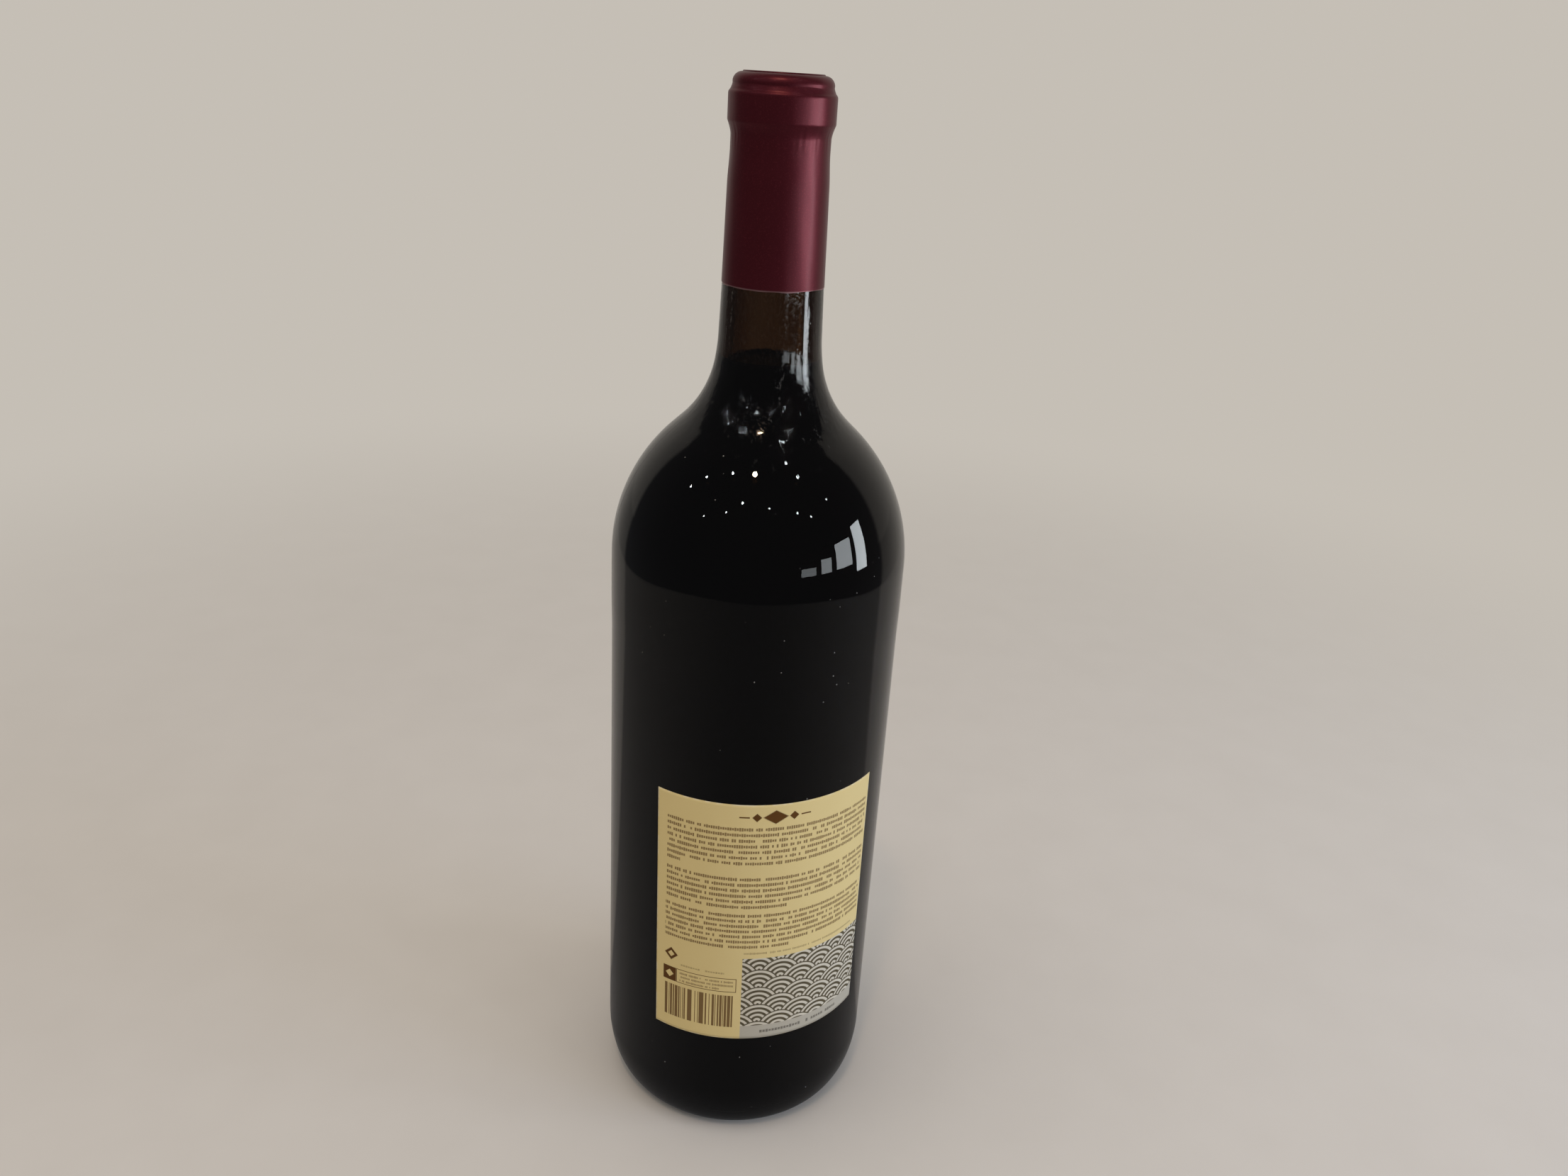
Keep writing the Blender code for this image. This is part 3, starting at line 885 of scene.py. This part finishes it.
def back_print():
    """The back label: an ornament, blocks of dashes, small marks, bars and a silver panel of fans."""
    material = bpy.data.materials.new("cream_paper_back")
    recipe = Recipe(material)
    sheet = Sheet(recipe, BACK_LABEL_SPAN * PAPER_OUTSIDE / MM, BACK_LABEL_HEIGHT / MM)
    colour, fibre = paper_ground(recipe, sheet)
    text = 0.0
    for *block, ink in BACK_BLOCKS:
        text = text + sheet.words(*block) * ink
    inked = recipe.math("MAXIMUM", text * 0.76 + back_marks(sheet), 0.0)
    inked = recipe.math("MINIMUM", inked, 1.0)
    panel = sheet.block(PANEL_LEFT, sheet.width, 0.0, PANEL_TOP)
    strip = sheet.block(PANEL_LEFT, sheet.width, 0.0, STRIP_TOP)
    colour = recipe.mix(inked, colour, BACK_BROWN)
    colour = recipe.mix(panel, colour, silver_panel(recipe, sheet, strip))
    paper_surface(recipe, colour, fibre, recipe.math("MAXIMUM", inked, panel * 0.8))
    return material


def front_print():
    """The front label, which the picture doesn't show: a double frame, a ring of fans, a band and dashes."""
    material = bpy.data.materials.new("cream_paper_front")
    recipe = Recipe(material)
    sheet = Sheet(recipe, FRONT_LABEL_SPAN * PAPER_OUTSIDE / MM, FRONT_LABEL_HEIGHT / MM)
    colour, fibre = paper_ground(recipe, sheet)
    middle = sheet.width / 2
    right = sheet.width
    low, high = FRONT_BAND

    lines = sheet.frame(3.0, right - 3.0, 3.0, sheet.height - 3.0, 0.5)
    lines = lines + sheet.frame(4.3, right - 4.3, 4.3, sheet.height - 4.3, 0.2)
    lines = lines + sheet.ring(middle, FRONT_RING_UP, 19.0, 0.6)
    lines = lines + sheet.ring(middle, FRONT_RING_UP, 17.6, 0.25)
    inside = 1.0 - recipe.smooth(sheet.away(middle, FRONT_RING_UP), 16.9, 17.1)
    fans = recipe.smooth(abs(sheet.scallops(9.0, 3.0) - 0.5), 0.22, 0.32) * inside
    band = sheet.block(5.2, right - 5.2, low, high)
    lozenge = sheet.lozenge(middle, (low + high) / 2, 4.2, 2.4)
    rules = sheet.block(12.0, right - 12.0, 27.6, 28.0) + lozenge
    words = sheet.words(middle - 20.0, middle + 20.0, 25.4, 1, 3.4, middle + 20.0, 5.0, 1.5)
    words = words + sheet.words(middle - 30.0, middle + 30.0, 18.4, 3, 2.3, middle + 20.0, 9.0)
    colour = recipe.mix(band, colour, FRONT_BURGUNDY)
    colour = recipe.mix(fans, colour, FRONT_FANS)
    inked = recipe.math("MINIMUM", lines + rules * (1.0 - band) + words * 0.85, 1.0)
    colour = recipe.mix(inked, colour, FRONT_BROWN)
    colour = recipe.mix(lozenge, colour, FRONT_GOLD)
    paper_surface(recipe, colour, fibre, recipe.math("MAXIMUM", inked, band))
    return material


def make_labels():
    back = paper("back_label_paper", BACK_LABEL_ANGLE, BACK_LABEL_SPAN, BACK_LABEL_BOTTOM,
                 BACK_LABEL_HEIGHT, BACK_LABEL_TILT, seed=17)
    back.data.materials.append(back_print())
    front = paper("front_label_paper", FRONT_LABEL_ANGLE, FRONT_LABEL_SPAN, FRONT_LABEL_BOTTOM,
                  FRONT_LABEL_HEIGHT, tilt=0.0, seed=19)
    front.data.materials.append(front_print())
    return back, front


# The stage

BACKDROP = (0.560, 0.520, 0.465, 1.0)
AMBIENT = (0.420, 0.405, 0.385, 1.0)
DIM = (0.068, 0.067, 0.070, 1.0)
BACKDROP_TURN = math.radians(6.0)
BACKDROP_HALF = math.radians(67.5)
REFLECTED = 0.73
PALE_FRONT = 0.60
PALE_SIDE = 0.58
PALE_POWER = 2.4
PALE_REFLECTED_AHEAD = 0.08
PALE_REFLECTED_ASIDE = 0.24
FLOOR_HALF = 6.0
FLOOR_COLOUR = (0.657, 0.618, 0.570, 1.0)
FLOOR_PALER = (0.696, 0.657, 0.609, 1.0)
FLOOR_FADE = (0.30, 0.98)

# Upright lights at one distance: turn from +X in degrees, width, middle height, height and radiance
UPRIGHT_DISTANCE = 1.3
UPRIGHT_LIGHTS = ((-6.5, 0.23, 0.33, 0.54, 8.2), (-22.5, 0.32, 0.335, 0.33, 5.0),
                  (-38.0, 0.19, 0.26, 0.19, 3.6), (-52.0, 0.26, 0.22, 0.11, 2.2))
SMALL_LIGHT_ROWS = (-0.7, -1.9)
SMALL_LIGHT_COLUMNS = (-2.3, -1.25, -0.6, 0.45, 1.1, 2.1)
SMALL_LIGHT_HEIGHT = 1.9
SMALL_LIGHT_STRAY = 0.25
SMALL_LIGHT_RADIANCE = (14.0, 34.0)
SMALL_LIGHT_SEED = 7


def towards_backdrop(recipe, x, y):
    """0 outside the backdrop's sector behind the bottle; inside it, from a dim side to 1 in its middle."""
    length = recipe.math("SQRT", x * x + y * y) + 1e-6
    facing = (x * math.sin(BACKDROP_TURN) + y * math.cos(BACKDROP_TURN)) / length
    side = math.cos(BACKDROP_HALF)
    inside = recipe.smooth(facing, side - 0.04, side + 0.04)
    return inside * (0.62 + recipe.smooth(facing, side, 0.95) * 0.38)


def make_world():
    """A pale backdrop behind, dim in front, and an even ambient light on matt surfaces."""
    world = bpy.data.worlds.new("studio")
    bpy.context.scene.world = world
    recipe = Recipe(world)
    way = recipe.add("ShaderNodeTexCoord", output="Generated")
    x, y, z = recipe.parts(way)
    low = 1.0 - recipe.smooth(z, 0.80, 0.92)
    glossy = recipe.add("ShaderNodeLightPath", output="Is Glossy Ray")
    bright = 1.0 - glossy * (1.0 - REFLECTED)
    seen = recipe.mix(towards_backdrop(recipe, x, y) * low * bright, DIM, BACKDROP)
    matt = recipe.add("ShaderNodeLightPath", output="Is Diffuse Ray")
    camera = recipe.add("ShaderNodeLightPath", output="Is Camera Ray")
    colour = recipe.mix(matt, seen, AMBIENT)
    colour = recipe.mix(camera, colour, BACKDROP)
    light = recipe.add("ShaderNodeBackground", None, {"Color": colour, "Strength": 1.0})
    recipe.add("ShaderNodeOutputWorld", None, {"Surface": light})


def make_floor():
    """A plain pale floor that fades into the backdrop.

    Reflections see it end in front at a rounded edge, where (|x| / side)^n + (-y / front)^n passes 1.
    """
    corners = np.array([[-1.0, -1.0, 0.0], [1.0, -1.0, 0.0], [1.0, 1.0, 0.0], [-1.0, 1.0, 0.0]])
    floor = show("floor", corners * FLOOR_HALF, [[0, 1, 2, 3]])
    material = bpy.data.materials.new("pale_floor")
    recipe = Recipe(material)
    place = recipe.object_place()
    x, y, _ = recipe.parts(place)
    out = recipe.math("SQRT", x * x + y * y)
    colour = recipe.mix(recipe.noise(place, 30.0, 3.0), FLOOR_COLOUR, FLOOR_PALER)
    matt = recipe.principled(Base_Color=colour, Roughness=0.75, Specular_IOR_Level=0.2)
    far = recipe.add("ShaderNodeEmission", None, {"Color": BACKDROP, "Strength": 1.0})
    gone = recipe.add("ShaderNodeEmission", None, {"Color": DIM, "Strength": 1.0})
    fade = recipe.smooth(out, *FLOOR_FADE)
    paint = recipe.add("ShaderNodeMixShader", None, {0: fade, 1: matt, 2: far})
    glossy = recipe.add("ShaderNodeLightPath", output="Is Glossy Ray")
    behind = towards_backdrop(recipe, x, y)
    ahead = recipe.math("MAXIMUM", -y, 0.0)
    reach = (abs(x) / PALE_SIDE) ** PALE_POWER + (ahead / PALE_FRONT) ** PALE_POWER
    pale = 1.0 - recipe.smooth(reach, 0.92, 1.12) * (1.0 - behind)
    aside = x * x / (out * out + 1e-6)
    share = PALE_REFLECTED_AHEAD + aside * (PALE_REFLECTED_ASIDE - PALE_REFLECTED_AHEAD)
    past = (1.0 - pale * (share + behind * (REFLECTED - share))) * glossy
    paint = recipe.add("ShaderNodeMixShader", None, {0: past, 1: paint, 2: gone})
    recipe.add("ShaderNodeOutputMaterial", None, {"Surface": paint})
    floor.data.materials.append(material)


def soft_light(name, place, aim, size, radiance, colour, glossy, shape="RECTANGLE"):
    """A soft light of the given radiance: its power is radiance x pi x area."""
    light = bpy.data.lights.new(name, "AREA")
    light.shape = shape
    light.size, light.size_y = size
    light.energy = radiance * math.pi * size[0] * size[1]
    light.color = colour
    holder = bpy.data.objects.new(name, light)
    holder.location = place
    holder.rotation_euler = (Vector(aim) - Vector(place)).to_track_quat("-Z", "Y").to_euler()
    holder.visible_glossy = glossy
    holder.visible_transmission = glossy
    bpy.context.scene.collection.objects.link(holder)


def make_lights():
    """Four upright lights and a cool fill on the right, a fill and a warm light above, and small lights.

    The small ones stand in two rows in front, each moved aside and dimmed by a seeded draw.
    """
    for turn, width, middle, height, radiance in UPRIGHT_LIGHTS:
        angle = math.radians(turn)
        spot = (UPRIGHT_DISTANCE * math.cos(angle), UPRIGHT_DISTANCE * math.sin(angle), middle)
        soft_light("upright_light", spot, aim=(0.0, 0.0, middle), size=(width, height), radiance=radiance,
                   colour=(0.90, 0.96, 1.0), glossy=True)
    soft_light("side_fill", (1.17, -0.42, 0.28), aim=(0.0, 0.0, 0.1), size=(0.5, 0.4), radiance=6.0,
               colour=(0.36, 0.56, 1.0), glossy=False)
    soft_light("overhead_fill", (-0.25, -0.20, 1.7), aim=(0.0, 0.0, 0.1), size=(1.3, 1.3), radiance=1.3,
               colour=(1.0, 0.96, 0.91), glossy=False)
    soft_light("top_light", (-0.16, -0.75, 1.75), aim=(0.0, 0.0, 0.35), size=(0.11, 0.11), radiance=75.0,
               colour=(1.0, 0.72, 0.50), glossy=True, shape="ELLIPSE")
    draw = np.random.default_rng(SMALL_LIGHT_SEED)
    for x in SMALL_LIGHT_COLUMNS:
        for y in SMALL_LIGHT_ROWS:
            aside, along = draw.uniform(-SMALL_LIGHT_STRAY, SMALL_LIGHT_STRAY, 2)
            spot = (x + aside, y + along, SMALL_LIGHT_HEIGHT)
            radiance = draw.uniform(*SMALL_LIGHT_RADIANCE)
            soft_light("small_light", spot, aim=(0.0, 0.0, 0.3), size=(0.07, 0.07), radiance=radiance,
                       colour=(0.90, 0.95, 1.0), glossy=True, shape="ELLIPSE")


def make_camera():
    """The camera that the picture was taken with: pitched down, turned and rolled slightly."""
    forward = Vector((math.sin(CAMERA_YAW) * math.cos(CAMERA_PITCH),
                      math.cos(CAMERA_YAW) * math.cos(CAMERA_PITCH), -math.sin(CAMERA_PITCH)))
    right = Vector((math.cos(CAMERA_YAW), -math.sin(CAMERA_YAW), 0.0))
    down = forward.cross(right)
    side = math.cos(CAMERA_ROLL) * right + math.sin(CAMERA_ROLL) * down
    below = -math.sin(CAMERA_ROLL) * right + math.cos(CAMERA_ROLL) * down
    turn = Matrix((side, -below, -forward)).transposed().to_4x4()
    data = bpy.data.cameras.new("camera")
    data.lens = CAMERA_LENS
    data.sensor_width = CAMERA_SENSOR
    data.sensor_fit = "HORIZONTAL"
    data.clip_start = 0.01
    camera = bpy.data.objects.new("camera", data)
    camera.matrix_world = Matrix.Translation(CAMERA_PLACE) @ turn
    bpy.context.scene.collection.objects.link(camera)
    bpy.context.scene.camera = camera


def stand_for(piece, node):
    """The piece stands for its CAD node, which is hidden, and rides with the root body."""
    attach(piece, "root")
    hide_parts(node)


def main():
    bpy.context.scene.view_settings.view_transform = "Standard"
    stand_for(make_glass(), "glass_bottle")
    stand_for(make_wine(), "wine")
    stand_for(make_capsule(), "capsule")
    back, front = make_labels()
    stand_for(back, "back_label")
    stand_for(front, "front_label")
    make_world()
    make_floor()
    make_lights()
    make_camera()


main()
